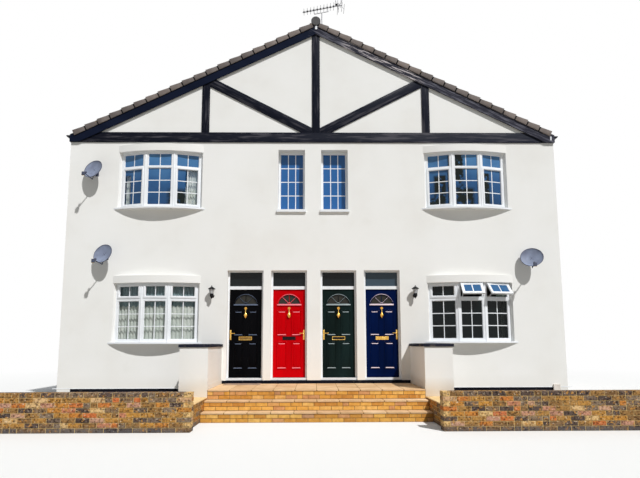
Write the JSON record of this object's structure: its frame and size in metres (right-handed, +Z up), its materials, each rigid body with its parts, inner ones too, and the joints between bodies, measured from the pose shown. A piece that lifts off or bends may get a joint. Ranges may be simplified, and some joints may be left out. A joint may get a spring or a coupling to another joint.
{
  "type": "terraced house row",
  "caption": "Two-storey rendered terrace under one gabled roof, with bow windows, hinged panelled front doors, steps and low garden walls.",
  "frame": {"origin": "middle of the front wall face at the foot of the steps, on the level of the ground", "axes": "+X along the front to the right, +Y into the house, +Z up"},
  "size_m": [11.928, 11.412, 10.3766],
  "materials": {
    "render": "smooth painted render",
    "plinth_paint": "black masonry paint",
    "concrete": "floated concrete",
    "boarding": "bare boards",
    "roof_tile": "grey concrete tile, weathered",
    "black_timber": "black gloss paint, worn",
    "black_plastic": "black moulded",
    "white_upvc": "white moulded",
    "window_glass": "clear",
    "brass": "polished",
    "step_brick": "yellow brick with grey joints",
    "paving_slab": "buff slab",
    "coping_paint": "black paint, chipped",
    "stock_brick": "mixed stock brick, weathered",
    "lantern_metal": "black enamel",
    "dish_metal": "grey enamel",
    "aerial_metal": "dull, weathered",
    "box_plastic": "off white moulded",
    "paint_black": "black gloss",
    "paint_red": "red gloss",
    "paint_green": "dark green gloss",
    "paint_blue": "navy gloss"
  },
  "bodies": {
    "root": {"front_piers": "render", "front_spandrels": "render", "door_piers": "render", "front_wall_centre": "render", "gable_walls": "render", "side_walls": "render", "rear_piers": "render", "rear_spandrels": "render", "plinths": "plinth_paint", "doorstep_base": "plinth_paint", "ground_floor": "concrete", "upper_floors": "boarding", "roof_left": "roof_tile", "roof_right": "roof_tile", "ridge_tiles": "roof_tile", "verge_caps": "roof_tile", "bargeboards": "black_timber", "eaves_boards": "black_timber", "gutters": "black_plastic", "gable_timbers": "black_timber", "bow_frames": "white_upvc", "bow_glass": "window_glass", "bow_sills": "white_upvc", "bow_heads": "render", "open_vents": "white_upvc", "flat_frames": "white_upvc", "flat_glass": "window_glass", "flat_sills": "white_upvc", "door_frames": "white_upvc", "thresholds": "white_upvc", "transom_glass": "window_glass", "frame_hinges": "brass", "steps_brickwork": "step_brick", "step_paving": "paving_slab", "parapets": "render", "copings": "coping_paint", "flank_walls": "stock_brick", "garden_walls": "stock_brick", "lanterns": "lantern_metal", "dishes": "dish_metal", "aerial_mast": "aerial_metal", "aerial_boom": "aerial_metal", "aerial_reflector": "aerial_metal", "meter_box": "box_plastic"},
    "door_black": {"leaf_black": "paint_black", "fanlight_black": "window_glass", "brass_black": "brass"},
    "door_red": {"leaf_red": "paint_red", "fanlight_red": "window_glass", "brass_red": "brass"},
    "door_green": {"leaf_green": "paint_green", "fanlight_green": "window_glass", "brass_green": "brass"},
    "door_blue": {"leaf_blue": "paint_blue", "fanlight_blue": "window_glass", "brass_blue": "brass"}
  },
  "joints": [
    {"name": "black_door_hinge", "type": "hinge", "parent": "root", "child": "door_black", "pos_m": [-1.21, 0.179, 1.7], "axis": [0, 0, -1], "range_deg": [0, 90]},
    {"name": "red_door_hinge", "type": "hinge", "parent": "root", "child": "door_red", "pos_m": [-0.97, 0.179, 1.7], "axis": [0, 0, 1], "range_deg": [0, 90]},
    {"name": "green_door_hinge", "type": "hinge", "parent": "root", "child": "door_green", "pos_m": [0.97, 0.179, 1.7], "axis": [0, 0, -1], "range_deg": [0, 90]},
    {"name": "blue_door_hinge", "type": "hinge", "parent": "root", "child": "door_blue", "pos_m": [1.21, 0.179, 1.7], "axis": [0, 0, 1], "range_deg": [0, 90]}
  ]
}
